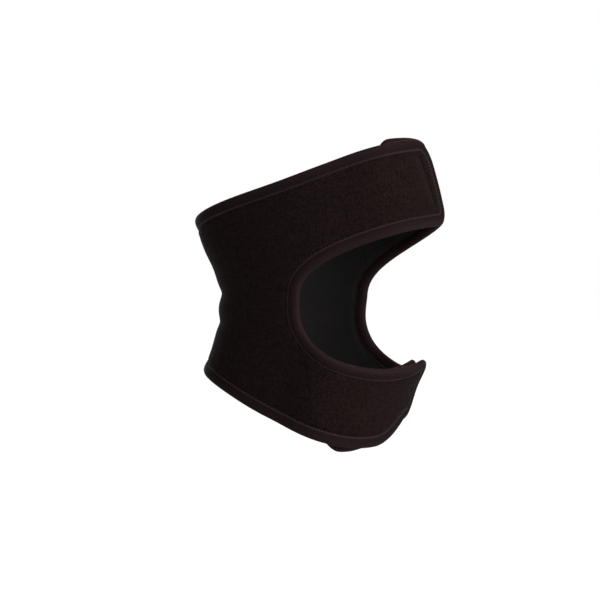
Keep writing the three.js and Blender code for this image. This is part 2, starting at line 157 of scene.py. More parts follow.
# Mesh lengths, in mm
CLOTH_CELL = 1.15
TAPE_CELL = 1.3
PATH_CELL = 2.5  # of the stitches' path
EDGE_DEPTHS = [0.25, 0.6, 1.8, 3, 4.2]  # of the rings on the pressed cloth, from the cut edge
EDGE_SQUEEZE = {0.25: 0.7, 0.6: 0.97}  # share of the wall that is left in the outermost rings
BEVEL_DEPTHS = [0, 0.3, 0.7, 1.2, 1.8]  # of the rings on the bevel, from where it starts
RUN_STEPS = 160  # points of a run before it is spread out evenly

# Soft crease across the near upper strap, with a swell beside it: angles at share 0 and its change
# for a whole share, and lengths in mm
CREASE = {"angle": 16, "lean": -24, "depth": 1, "half_width": 1.3}
SWELL = {"beside": 4.4, "height": 0.8, "half_width": 3}

# Long soft waves of the cloth: turns of phase round the wrap, phase down it and shift, in radians
WAVES = [(5, 9, 0.6), (8, -14, 2.1), (3, 21, 4.0)]

# Puckers along the stitches: beats in the edge's length, weight and shift in radians
PUCKERS = [(163, 1, 0), (211, 0.8, 1.3), (97, 0.7, 0.4)]
PUCKER_REACH = 4.5  # from the rim into the panel, in mm

# Patterns of the finishes, in metres
FIBRE = 0.6 * MM  # of the brushed pile
CLUMP = 1.5 * MM  # of fibres that lie together
WALE = 1.1 * MM
COURSE = 0.9 * MM
JERSEY_FUZZ = 0.8 * MM
JERSEY_PATCH = 11 * MM
PICK = 0.8 * MM
TAPE_FUZZ = 0.5 * MM
STREAK = 0.7 * MM  # across the tape
FOLD_HIGHLIGHT_FROM = 1.5 * MM  # from the tape's fold: painted highlight, paler up to here
FOLD_HIGHLIGHT_TO = 5.5 * MM  # and plain from here on
TWIST = 0.3 * MM  # of the thread
HOOK = 1.2 * MM
PAPER_GRAIN = 40 * MM
PAINTED_LIGHT_WITH_RELIEF = 0.22  # painted highlight on the swell and painted shade in the crease: share of the pile's tips added for each mm of relief

# The stitches
SUNK_THREADS = -0.7  # level of a thread's ends, in threads' thicknesses
FLATTER_RETURN = 0.35  # share by which a return is lower than a bar
STRAY = 0.09  # farthest that a thread strays from its turn, in radians
STITCH_SEED = 7

# The stage: each light's turn from the camera to the camera's right and its height, in degrees
LIGHTS = {"key": (30, 45), "side": (60, 10), "back": (188, 14)}
LIGHT_SPREAD = 50
FLOOR_REACH = 30  # from the middle of the floor to its sides, in metres

# The photograph's frame: a square of pixels, the size of one of them and the origin's place in it
FRAME_PIXELS = 600
PIXEL = 0.55 * MM
ORIGIN_PIXEL = (336, 288)


def linear(hex_colour):
    """Linear colour, with alpha, of an sRGB hex value such as "#1c1a1b"."""
    shares = [int(hex_colour[i:i + 2], 16) / 255 for i in (1, 3, 5)]
    return tuple(s / 12.92 if s <= 0.04045 else ((s + 0.055) / 1.055) ** 2.4 for s in shares) + (1.0,)


class StrapClothSettings(bpy.types.PropertyGroup):
    """Sizes and colours of the foam rubber cloth"""

    face_colour: FloatVectorProperty(
        name="Face", description="Colour of the brushed face",
        subtype="COLOR", size=3, default=linear("#0b0606")[:3], min=0, max=1,
    )
    face_tip_colour: FloatVectorProperty(
        name="Fibre tips", description="Colour of the brushed face's fibre tips",
        subtype="COLOR", size=3, default=linear("#1a1010")[:3], min=0, max=1,
    )
    pucker: FloatProperty(
        name="Pucker", description="How far the cloth swells and sinks along the stitches",
        unit="LENGTH", default=0.16 * MM, min=0, max=1 * MM,
    )
    wave: FloatProperty(
        name="Wave", description="How far the cloth lies off its smooth form",
        unit="LENGTH", default=0.22 * MM, min=0, max=1 * MM,
    )


class StrapTapeSettings(bpy.types.PropertyGroup):
    """Sizes of the edge tape"""

    ribs: IntProperty(
        name="Ribs", description="Lengthwise ribs on each half of the folded tape",
        default=5, min=1, max=9,
    )
    rib_height: FloatProperty(
        name="Rib height", description="Height of a rib over the groove beside it",
        unit="LENGTH", default=0.08 * MM, min=0, max=0.3 * MM,
    )
    join_length: FloatProperty(
        name="Join", description="Length over which the tape's two ends lap at the back",
        unit="LENGTH", default=11 * MM, min=0, max=30 * MM,
    )


class StrapStitchSettings(bpy.types.PropertyGroup):
    """Sizes of the barred stitches that hold the tape"""

    advance: FloatProperty(
        name="Advance", description="Step along the edge from a bar to the middle of its return",
        unit="LENGTH", default=0.9 * MM, min=0.5 * MM, max=4 * MM,
    )
    on_tape: FloatProperty(
        name="On the tape", description="Distance from the tape's edge to the holes in the tape",
        unit="LENGTH", default=0.95 * MM, min=0, max=3 * MM,
    )
    on_cloth: FloatProperty(
        name="On the cloth", description="Distance from the tape's edge to the holes in the cloth",
        unit="LENGTH", default=0.75 * MM, min=0, max=3 * MM,
    )
    thread: FloatProperty(
        name="Thread", description="Diameter of the thread",
        unit="LENGTH", default=0.38 * MM, min=0.1 * MM, max=1 * MM,
    )


class StrapStageSettings(bpy.types.PropertyGroup):
    """Floor, light and camera"""

    floor_gap: FloatProperty(
        name="Floor gap", description="Height of the strap over the floor",
        unit="LENGTH", default=0.2, min=0, max=1,
    )
    key_light: FloatProperty(
        name="Key light",
        description="Light from above, on the right of the camera, in watts on a square metre",
        default=2.9, min=0, max=50,
    )
    side_light: FloatProperty(
        name="Side light", description="Low light from the open front, in watts on a square metre",
        default=4, min=0, max=50,
    )
    back_light: FloatProperty(
        name="Back light", description="Low light from beyond the strap, in watts on a square metre",
        default=2.6, min=0, max=50,
    )
    azimuth: FloatProperty(
        name="Camera azimuth", description="Angle of the camera from the near side to the front",
        subtype="ANGLE", default=math.radians(20),
    )
    distance: FloatProperty(
        name="Camera distance", description="From the camera to the middle of the view",
        unit="LENGTH", default=1.6, min=0.2, max=10,
    )


def smooth_row(values, share):
    """A smooth curve through evenly spaced values, read at shares of its length. It runs on straight
    past its ends."""
    values = np.asarray(values, float)
    last = len(values) - 1
    along = np.asarray(share, float) * last
    i = np.clip(np.floor(along).astype(int), 0, last - 1)
    t = along - i
    step = values[i + 1] - values[i]
    slope_in = np.where(i > 0, (values[i + 1] - values[np.maximum(i - 1, 0)]) / 2, step)
    slope_out = np.where(i < last - 1, (values[np.minimum(i + 2, last)] - values[i]) / 2, step)
    ease = t * t * (3 - 2 * t)
    inside = values[i] + step * ease + t * (1 - t) * ((1 - t) * slope_in - t * slope_out)
    return np.where((t < 0) | (t > 1), values[i] + step * t, inside)


def unit(vectors):
    return vectors / np.linalg.norm(vectors, axis=-1, keepdims=True)


def smoothstep(x, low, high):
    t = np.clip((x - low) / (high - low), 0, 1)
    return t * t * (3 - 2 * t)


def section_row(values, size, share):
    return size * smooth_row(list(values), share)


def fold_depth(angle, share):
    from_back = np.abs(angle % 360 - 180)
    depth = 0
    for fold in FOLDS.values():
        across = (share - fold["at"]) / fold["half_height"]
        depth = depth + fold["depth"] * np.exp(-(across**2) - (from_back / fold["reach"]) ** 2)
    return FOLD_DEPTH * depth


def worn_form(angle, share):
    """The inner face of the cloth where no strap is lifted."""
    rows = SECTIONS.values()
    back_x = section_row((row["back"][0] for row in rows), KNEE_DEPTH, share)
    back_z = section_row((row["back"][1] for row in rows), WRAP_HEIGHT, share)
    front_x = section_row((row["front"][0] for row in rows), KNEE_DEPTH, share)
    front_z = section_row((row["front"][1] for row in rows), WRAP_HEIGHT, share)
    half_width = section_row((row["half_width"] for row in rows), KNEE_WIDTH, share)
    cos, sin = np.cos(np.radians(angle)), np.sin(np.radians(angle))
    power = BACK_POWER + (FRONT_POWER - BACK_POWER) * (1 + cos) / 2
    oval = (np.abs(cos) ** power + np.abs(sin) ** power) ** (-1 / power)
    radius = oval * (1 - fold_depth(angle, share) / (KNEE_DEPTH / 2))
    x = (back_x + front_x) / 2 + (front_x - back_x) / 2 * cos * radius
    z = (back_z + front_z) / 2 + (front_z - back_z) / 2 * cos * radius
    return np.stack([x, -half_width * sin * radius, z], -1)


def slopes(surface, angle, share):
    """Changes of a surface function for one degree and for one whole share."""
    turn, drop = 0.2, 0.001
    per_degree = (surface(angle + turn, share) - surface(angle - turn, share)) / (2 * turn)
    per_share = (surface(angle, share + drop) - surface(angle, share - drop)) / (2 * drop)
    return per_degree, per_share


def outward(angle, share):
    return unit(np.cross(*slopes(worn_form, angle, share)))


def lift(angle, share):
    """Height of the cloth's inner face over the worn form: a near strap climbs on to the far
    strap's end."""
    end = np.where(share < OPENING_CENTRE, STRAPS["far upper"]["end"], STRAPS["far lower"]["end"]) - 360
    start = end + (CLEARANCE + TAPE_WALL) / MM_PER_DEGREE
    t = np.clip((angle - start) / (RAMP / MM_PER_DEGREE), 0, 1)
    return STRAP_LIFT * (1 - t * t * (3 - 2 * t))


def wave(angle, share):
    """How far the cloth lies off its smooth form, from -1 to 1: long soft waves that run round it."""
    a = np.radians(angle)
    total = sum(np.sin(round_it * a + down * share + shift) for round_it, down, shift in WAVES)
    return total / len(WAVES)


def crease(angle, share):
    """How far the near upper strap's face sinks, in mm, in a crease and beside it, where it swells."""
    across = (angle - CREASE["angle"] - CREASE["lean"] * share) * MM_PER_DEGREE
    sunk = CREASE["depth"] * np.exp(-((across / CREASE["half_width"]) ** 2))
    swell = SWELL["height"] * np.exp(-(((across - SWELL["beside"]) / SWELL["half_width"]) ** 2))
    return np.where(share < OPENING_CENTRE, sunk - swell, 0)


def place(angle, share, level, waves=0.0):
    """Points at a height over the middle of the cloth's wall, in mm."""
    height = lift(angle, share) + WALL / 2 + level + waves * wave(angle, share)
    return worn_form(angle, share) + outward(angle, share) * height[..., None]


def middle(angle, share):
    return place(angle, share, np.zeros(np.shape(angle)))


def edge_row(shares, angle):
    return smooth_row(shares, (np.asarray(angle, float) - EDGES_FROM) / (EDGES_TO - EDGES_FROM))


def top_edge(angle):
    return edge_row(TOP_EDGE, angle)


def bottom_edge(angle):
    """The near lower strap's bottom edge rises towards its end."""
    along = (TAPER_FROM - np.asarray(angle, float)) / (TAPER_FROM - STRAPS["near lower"]["end"])
    return edge_row(BOTTOM_EDGE, angle) - LOWER_TAPER / WRAP_HEIGHT * np.maximum(along, 0) ** TAPER_POWER


def opening_reach(angle):
    return np.minimum(np.abs(np.where(angle > 180, 360 - angle, angle)) / OPENING_HALF_ANGLE, 1)


def squared_oval(reach, power):
    return (1 - reach**power) ** (1 / power)


def opening_top(angle):
    angle = np.asarray(angle, float)
    rise = OPENING_CENTRE - UPPER_STRAP / WRAP_HEIGHT + np.where(angle > 180, OPENING_FAR_RISE, 0)
    return OPENING_CENTRE - rise * squared_oval(opening_reach(angle), OPENING_TOP_POWER)


def opening_bottom(angle):
    angle = np.asarray(angle, float)
    reach = opening_reach(angle)
    at_front = 1 - OPENING_CENTRE - LOWER_STRAP / WRAP_HEIGHT
    at_front = at_front + np.where(angle > 180, OPENING_FAR_DROP, 0)
    drop = at_front + OPENING_SIDE_DIP * (1 - (1 - reach) ** 2)
    return OPENING_CENTRE + drop * squared_oval(reach, OPENING_BOTTOM_POWER)


def edge_run(edge, start, end):
    angle = np.linspace(start, end, RUN_STEPS + 1)
    return np.stack([angle, edge(angle)], -1)


def half_corner(strap, edge, corner, up, to_end):
    """Half of a strap's rounded corner, from its middle to the edge or to the strap's end.

    up is 1 where the edge is the strap's upper one and -1 where it is the lower one.
    """
    radius = max(corner * strap["width"], RIM + 1)
    wide = strap["side"] * radius / MM_PER_DEGREE
    high = up * radius / WRAP_HEIGHT
    a = math.pi / 4 * (1 + np.linspace(0, -1 if to_end else 1, RUN_STEPS + 1))
    share = edge(strap["end"] + wide) + high * (1 - np.sin(a))
    return np.stack([strap["end"] + wide * (1 - np.cos(a)), share], -1)


def strap_runs(name, outer, inner):
    """A strap's outer edge, end and inner edge. Each starts in the middle of a corner."""
    strap = STRAPS[name]
    root = STRAP_ROOT if strap["side"] > 0 else 360 - STRAP_ROOT
    outer_up = 1 if outer is top_edge else -1

    def long_run(edge, corner, up):
        half = half_corner(strap, edge, corner, up, False)
        return np.concatenate([half, edge_run(edge, half[-1, 0], root)[1:]])

    down = half_corner(strap, outer, strap["outer"], outer_up, True)
    up = half_corner(strap, inner, strap["inner"], -outer_up, True)
    end = np.concatenate([down, up[::-1]])
    return long_run(outer, strap["outer"], outer_up), end, long_run(inner, strap["inner"], -outer_up)


def notch_run(far):
    """The back end of the opening, from its top edge to its bottom edge."""
    k = np.arange(RUN_STEPS + 1)
    reach = STRAP_ROOT + (OPENING_HALF_ANGLE - STRAP_ROOT) * np.sin(math.pi * k / RUN_STEPS)
    angle = 360 - reach if far else reach
    share = np.where(k < RUN_STEPS / 2, opening_top(angle), opening_bottom(angle))
    return np.stack([angle, share], -1)


def run_lengths(run):
    points = middle(run[:, 0], run[:, 1])
    return np.concatenate([[0], np.cumsum(np.linalg.norm(np.diff(points, axis=0), axis=1))])


def spread(run, count):
    """The same run with evenly spaced points, one more than the number of its cells."""
    passed = run_lengths(run)
    even = np.linspace(0, passed[-1], count + 1)
    return np.stack([np.interp(even, passed, run[:, 0]), np.interp(even, passed, run[:, 1])], -1)


class Outline:
    """The panel's edge as one closed loop of (angle, share), and its 16 named runs."""

    def __init__(self, cell):
        near_upper = strap_runs("near upper", top_edge, opening_top)
        far_upper = strap_runs("far upper", top_edge, opening_top)
        near_lower = strap_runs("near lower", bottom_edge, opening_bottom)
        far_lower = strap_runs("far lower", bottom_edge, opening_bottom)
        back = edge_run(top_edge, STRAP_ROOT, 360 - STRAP_ROOT)

        def cells(run):
            return max(2, round(run_lengths(run)[-1] / cell))

        along = {
            "near upper": cells(near_upper[0]),
            "far upper": cells(far_upper[0]),
            "near lower": cells(near_lower[0]),
            "far lower": cells(far_lower[0]),
            "back": cells(back),
            "notch": cells(notch_run(False)),
            "upper end": round(UPPER_STRAP / cell) + 1,
            "lower end": round(LOWER_STRAP / cell) + 1,
        }
        parts = [
            ("top near", near_upper[0], "near upper"),
            ("top back", back, "back"),
            ("top far", far_upper[0][::-1], "far upper"),
            ("end far upper", far_upper[1], "upper end"),
            ("low far upper", far_upper[2], "far upper"),
            ("notch far", notch_run(True), "notch"),
            ("up far lower", far_lower[2][::-1], "far lower"),
            ("end far lower", far_lower[1][::-1], "lower end"),
            ("bottom far", far_lower[0], "far lower"),
            ("bottom back", edge_run(bottom_edge, 360 - STRAP_ROOT, STRAP_ROOT), "back"),
            ("bottom near", near_lower[0][::-1], "near lower"),
            ("end near lower", near_lower[1], "lower end"),
            ("up near lower", near_lower[2], "near lower"),
            ("notch near", notch_run(False)[::-1], "notch"),
            ("low near upper", near_upper[2][::-1], "near upper"),
            ("end near upper", near_upper[1][::-1], "upper end"),
        ]
        runs = [spread(run, along[count]) for _, run, count in parts]
        self.loop = np.concatenate([run[:-1] for run in runs])
        total = len(self.loop)
        starts = np.concatenate([[0], np.cumsum([len(run) - 1 for run in runs])])
        self.runs = {
            name: np.arange(starts[n], starts[n + 1] + 1) % total for n, (name, _, _) in enumerate(parts)
        }
        self.inward = self.inward_steps()
        points = middle(*self.loop.T)
        self.arc = np.concatenate([[0], np.cumsum(np.linalg.norm(np.diff(points, axis=0), axis=1))])
        self.length = self.arc[-1] + np.linalg.norm(points[0] - points[-1])

    def inward_steps(self):
        """The change of (angle, share) that goes 1 mm into the cloth."""
        points = middle(*self.loop.T)
        ahead = unit(np.roll(points, -1, 0) - points)
        along = unit(ahead + np.roll(ahead, 1, 0))
        per_degree, per_share = slopes(middle, *self.loop.T)
        inward = np.cross(unit(np.cross(per_degree, per_share)), along)
        dd = (per_degree**2).sum(-1)
        ds = (per_degree * per_share).sum(-1)
        ss = (per_share**2).sum(-1)
        by_degree = (per_degree * inward).sum(-1)
        by_share = (per_share * inward).sum(-1)
        steps = np.stack([by_degree * ss - by_share * ds, by_share * dd - by_degree * ds], -1)
        return steps / (dd * ss - ds * ds)[:, None]

    def inset(self, depth):
        return self.loop + self.inward * depth

    def ring(self, depth, level, waves=0.0):
        angle, share = self.inset(depth).T
        return place(angle, share, np.broadcast_to(level, angle.shape), waves)


def rim_level(depth):
    """Height of the cloth's face over the middle of its wall, at a distance from the cut edge."""
    rise = np.sin(np.clip((depth - (RIM - BEVEL)) / BEVEL, 0, 1) * math.pi / 2)
    return EDGE_WALL / 2 + (WALL - EDGE_WALL) / 2 * rise


def tape_level(depth):
    """Height of the tape's face over the middle of the cloth's wall: pressed by the stitches near
    its edge, full beyond them and rounded over towards the fold."""
    high = EDGE_WALL / 2 + TAPE_WALL + CLEARANCE
    pressed = TAPE_WALL * TAPE_PRESSED + CLEARANCE
    from_edge = np.clip((TAPE_WIDTH - depth) / (TAPE_WIDTH - TAPE_ROUND), 0, 1)
    rise = np.sin(from_edge * math.pi / 2) ** TAPE_RISE_POWER
    over = np.clip((TAPE_ROUND - depth) / (TAPE_ROUND + TAPE_FOLD), 0, 1)
    return (high - pressed * (1 - rise)) * (1 - over**TAPE_POWER) ** (1 / TAPE_POWER)


def straight_run(points, first, last, count):
    """Ids of a straight run between two points, with new points in between."""
    t = np.linspace(0, 1, count + 1)[1:-1, None]
    rows = points.rows[first] * (1 - t) + points.rows[last] * t
    return np.concatenate([[first], points.add(rows), [last]])


class Points:
    """A growing list of (angle, share)."""

    def __init__(self, rows):
        self.rows = rows

    def add(self, rows):
        start = len(self.rows)
        self.rows = np.concatenate([self.rows, rows])
        return np.arange(start, len(self.rows))


def patch(points, top, bottom, left, right):
    """Ids of a grid between four runs of ids that share their corners."""
    u = np.linspace(0, 1, len(top))[:, None, None]
    v = np.linspace(0, 1, len(left))[None, :, None]
    rows = points.rows
    sides = (1 - v) * rows[top][:, None] + v * rows[bottom][:, None]
    sides = sides + (1 - u) * rows[left][None] + u * rows[right][None]
    corners = (1 - u) * (1 - v) * rows[top[0]] + u * (1 - v) * rows[top[-1]]
    corners = corners + (1 - u) * v * rows[bottom[0]] + u * v * rows[bottom[-1]]
    inside = (sides - corners)[1:-1, 1:-1]
    ids = np.empty((len(top), len(left)), int)
    ids[:, 0], ids[:, -1], ids[0], ids[-1] = top, bottom, left, right
    ids[1:-1, 1:-1] = points.add(inside.reshape(-1, 2)).reshape(inside.shape[:2])
    return ids


def panel_grids(outline):
    """The (angle, share) of every point inside the rim, and the grids of their ids."""
    points = Points(outline.inset(RIM))
    runs = outline.runs
    back = {name: run[::-1] for name, run in runs.items()}

    def root(first, last, like):
        return straight_run(points, first, last, len(runs[like]) - 1)

    near_upper = root(runs["top near"][-1], runs["low near upper"][0], "end near upper")
    far_upper = root(runs["top far"][0], runs["low far upper"][-1], "end far upper")
    near_lower = root(runs["up near lower"][-1], runs["bottom near"][0], "end near lower")
    far_lower = root(runs["up far lower"][0], runs["bottom far"][-1], "end far lower")
    upper_waist = root(near_upper[-1], far_upper[-1], "top back")
    lower_waist = root(near_lower[0], far_lower[0], "top back")
    grids = [
        patch(points, runs["top near"], back["low near upper"], back["end near upper"], near_upper),
        patch(points, runs["top back"], upper_waist, near_upper, far_upper),
        patch(points, runs["top far"], back["low far upper"], far_upper, runs["end far upper"]),
        patch(points, upper_waist, lower_waist, back["notch near"], runs["notch far"]),
        patch(points, runs["up near lower"], back["bottom near"], back["end near lower"], near_lower),
        patch(points, lower_waist, back["bottom back"], near_lower, far_lower),
        patch(points, runs["up far lower"], back["bottom far"], far_lower, runs["end far lower"]),
    ]
    return points.rows, grids


def ring_faces(outer, deeper):
    """Four-sided faces between two closed rings of ids."""
    return np.stack([outer, np.roll(outer, -1), np.roll(deeper, -1), deeper], -1)


def make_mesh(name, points, faces, uv=None, slots=None):
    """A mesh object from points in mm and four-sided faces, shaded smooth."""
    mesh = bpy.data.meshes.new(name)
    mesh.from_pydata((points * MM).tolist(), [], faces.tolist())
    if slots is not None:
        mesh.polygons.foreach_set("material_index", slots.astype(np.int32))
    if uv is not None:
        layer = mesh.uv_layers.new(name="surface_metres")
        layer.data.foreach_set("uv", (uv[faces.reshape(-1)] * MM).astype(np.float32).reshape(-1))
    mesh.shade_smooth()
    mesh.validate()
    made = bpy.data.objects.new(name, mesh)
    bpy.context.scene.collection.objects.link(made)
    return made


def nearest_edge(points, edge_points):
    """Distance in mm from each point to the nearest point of the outline, and that point's number."""
    distance = np.empty(len(points))
    nearest = np.empty(len(points), int)
    block = 2000
    for start in range(0, len(points), block):
        some = points[start:start + block]
        squares = (some**2).sum(1)[:, None] + (edge_points**2).sum(1)[None] - 2 * some @ edge_points.T
        nearest[start:start + block] = squares.argmin(1)
        distance[start:start + block] = np.sqrt(np.maximum(squares.min(1), 0))
    return distance, nearest


def pucker(arc, depth, length):
    """Swelling of the cloth beside the stitches, from -1 to 1: it dies out into the panel."""
    turns = 2 * math.pi * arc / length
    beats = sum(weight * np.sin(count * turns + shift) for count, weight, shift in PUCKERS)
    near = np.exp(-(((depth - RIM) / PUCKER_REACH) ** 2))
    return beats / sum(weight for _, weight, _ in PUCKERS) * near


def make_cloth(settings):
    """The panel as one closed mesh. Slot 0 is its outer face and slot 1 its inner face, and
    relief_mm says how far the crease and its swell lie off the outer face."""
    outline = Outline(CLOTH_CELL)
    rows, grids = panel_grids(outline)
    waves = settings.wave / MM
    grid_faces = np.concatenate([
        np.stack([g[:-1, :-1], g[1:, :-1], g[1:, 1:], g[:-1, 1:]], -1).reshape(-1, 4) for g in grids
    ])
    cut_points = outline.ring(0, 0)
    depth, nearest = nearest_edge(middle(*rows.T), cut_points)
    swell = settings.pucker / MM * pucker(outline.arc[nearest], depth, outline.length)
    inside = smoothstep(depth, RIM - 1, RIM + 2)

    points, uv, relief, faces, slots = [], [], [], [], []
    count = 0

    def add(new, new_uv, raised=0):
        nonlocal count
        points.append(new)
        uv.append(new_uv)
        relief.append(np.broadcast_to(raised, len(new)))
        count += len(new)
        return np.arange(count - len(new), count)

    def flat(at):
        return at * [MM_PER_DEGREE, WRAP_HEIGHT]

    cut = add(cut_points, flat(outline.loop))
    depths = EDGE_DEPTHS + [RIM - BEVEL + past for past in BEVEL_DEPTHS]
    for side in (1, -1):
        sunk = crease(*rows.T) * inside if side > 0 else 0
        full = add(place(*rows.T, side * (WALL / 2 + swell) - sunk, waves), flat(rows), -sunk)
        shown = full[grid_faces]
        rings = [cut]
        for at in depths:
            beside = settings.pucker / MM * pucker(outline.arc, at, outline.length) * (at > TAPE_WIDTH)
            level = side * (rim_level(at) * EDGE_SQUEEZE.get(at, 1) + beside)
            rings.append(add(outline.ring(at, level, waves), flat(outline.inset(at))))
        rings.append(full[:len(outline.loop)])
        rim = np.concatenate([ring_faces(a, b) for a, b in zip(rings, rings[1:])])
        both = np.concatenate([shown, rim])
        faces.append(both if side > 0 else both[:, ::-1])
        slots.append(np.full(len(both), 0 if side > 0 else 1))
    points, uv, faces, slots = (np.concatenate(some) for some in (points, uv, faces, slots))
    made = make_mesh("wrap_cloth", points, faces, uv, slots)
    # relief_mm also drives painted shade in the crease and a painted highlight on the swell, in the
    # pile's colour
    layer = made.data.attributes.new("relief_mm", "FLOAT", "POINT")
    layer.data.foreach_set("value", np.concatenate(relief).astype(np.float32))
    return made


def tape_section(ribs, rib_height):
    """Closed section of the folded tape as rows of depth and level, from its edge on the outer face
    round the fold to its edge on the inner face, and back along its inside."""
    per_rib = 4
    past_fold = TAPE_FOLD * np.array([0.25, 0.5, 0.72, 0.88, 0.97])
    t = np.linspace(0, 1, ribs * per_rib + 1)
    depth = TAPE_WIDTH * (1 - t)
    rib = rib_height * (0.5 - 0.5 * np.cos(2 * math.pi * ribs * t))
    face = np.stack([depth, tape_level(depth) + rib], -1)
    mirror = [1, -1]
    near_half = np.stack([-past_fold, tape_level(-past_fold)], -1)
    nose = np.concatenate([near_half, [[-TAPE_FOLD, 0]], (near_half * mirror)[::-1]])
    inside = EDGE_WALL / 2 + TAPE_INSIDE_GAP
    flat = [[TAPE_WIDTH, inside], [TAPE_WIDTH / 2, inside], [0.2, inside]]
    under = np.array(flat + [[-0.2, 0.7 * inside], [-0.3, 0]])
    return np.concatenate([face, nose, (face * mirror)[::-1], under[:-1] * mirror, under[::-1]])


def make_tape(settings, waves):
    """The folded tape as one closed loop, with its section swept along the panel's edge. Its two ends
    lap at the back."""
    outline = Outline(TAPE_CELL)
    section = tape_section(settings.ribs, settings.rib_height / MM)
    across = np.concatenate([[0], np.cumsum(np.linalg.norm(np.diff(section, axis=0), axis=1))])
    across -= across[section[:, 0].argmin()]
    half_join = settings.join_length / MM / 2
    back = outline.runs["top back"]
    from_join = np.abs(outline.arc - outline.arc[back[len(back) // 2]])
    doubled = JOIN_HEIGHT * (1 - smoothstep(from_join, half_join - JOIN_EASE, half_join + JOIN_EASE))
    outer_level, outer_depth = EDGE_WALL / 2 + 0.1, -0.35
    points, uv = [], []
    for n, (depth, level) in enumerate(section):
        outside = abs(level) > outer_level or depth < outer_depth
        thicker = doubled * np.sign(level) if outside else 0
        points.append(outline.ring(depth, level + thicker, waves))
        uv.append(np.stack([outline.arc, np.full(len(outline.arc), across[n])], -1))
    count = len(outline.loop)
    rings = [np.arange(n * count, (n + 1) * count) for n in range(len(section))]
    faces = np.concatenate([ring_faces(b, a) for a, b in zip(rings, rings[1:] + rings[:1])])
    return make_mesh("edge_tape", np.concatenate(points), faces, np.concatenate(uv))


def add_node(tree, kind, links=None, **settings):
    """Adds a node with its settings. links maps its inputs, by name or number, to values or outputs."""
    made = tree.nodes.new(kind)
    for name, value in settings.items():
        setattr(made, name, value)
    for key, value in (links or {}).items():
        if isinstance(value, bpy.types.NodeSocket):
            tree.links.new(value, made.inputs[key])
        else:
            made.inputs[key].default_value = value
    return made


def new_material(name):
    """An empty material, its tree and its shader, which is linked to the output."""
    material = bpy.data.materials.new(name)
    material.use_nodes = True
    tree = material.node_tree
    tree.nodes.clear()
    shader = add_node(tree, "ShaderNodeBsdfPrincipled")
    add_node(tree, "ShaderNodeOutputMaterial", {"Surface": shader.outputs["BSDF"]})
    return material, tree, shader


def brushed_face(settings):
    """Nylon loop knit with its loops brushed up, laminated on foam rubber: a matt, mottled pile
    with paler fibre tips and a soft sheen where it is seen at a slant. Its colour is darkened in
    the crease as painted shade and made paler where the face swells as a painted highlight."""
    material, tree, shader = new_material("brushed_nylon_loop_pile")
    at = add_node(tree, "ShaderNodeTexCoord").outputs["Object"]
    fibres = add_node(tree, "ShaderNodeTexNoise", {
        "Vector": at, "Scale": 1 / FIBRE, "Detail": 2, "Roughness": 0.7,
    }).outputs["Fac"]
    clumps = add_node(tree, "ShaderNodeTexNoise", {
        "Vector": at, "Scale": 1 / CLUMP, "Detail": 2, "Roughness": 0.6,
    }).outputs["Fac"]
    mixed = add_node(tree, "ShaderNodeMath", {0: fibres, 1: clumps}, operation="ADD")
    # Painted shade and highlight: the relief darkens the pile's colour in the crease and lightens it on
    # the swell
    relief = add_node(tree, "ShaderNodeAttribute", attribute_name="relief_mm").outputs["Fac"]
    brushed = add_node(tree, "ShaderNodeMath", {
        0: relief, 1: PAINTED_LIGHT_WITH_RELIEF, 2: mixed.outputs[0],
    }, operation="MULTIPLY_ADD")
    share = add_node(tree, "ShaderNodeMapRange", {
        "Value": brushed.outputs[0], "From Min": 0.8, "From Max": 1.2,
    })
    colour = add_node(tree, "ShaderNodeMix", {
        0: share.outputs["Result"], 6: (*settings.face_colour, 1), 7: (*settings.face_tip_colour, 1),
    }, data_type="RGBA")
    tree.links.new(colour.outputs[2], shader.inputs["Base Color"])
    coarse = add_node(tree, "ShaderNodeBump", {
        "Height": clumps, "Strength": 0.5, "Distance": 0.6 * MM,
    })
    fine = add_node(tree, "ShaderNodeBump", {
        "Height": fibres, "Strength": 0.7, "Distance": 0.25 * MM, "Normal": coarse.outputs["Normal"],
    })
    tree.links.new(fine.outputs["Normal"], shader.inputs["Normal"])
    shader.inputs["Roughness"].default_value = 0.95
    shader.inputs["Specular IOR Level"].default_value = 0.035
    shader.inputs["Sheen Weight"].default_value = 0.014
    shader.inputs["Sheen Roughness"].default_value = 0.4
    shader.inputs["Sheen Tint"].default_value = linear("#d8cfe0")
    return material


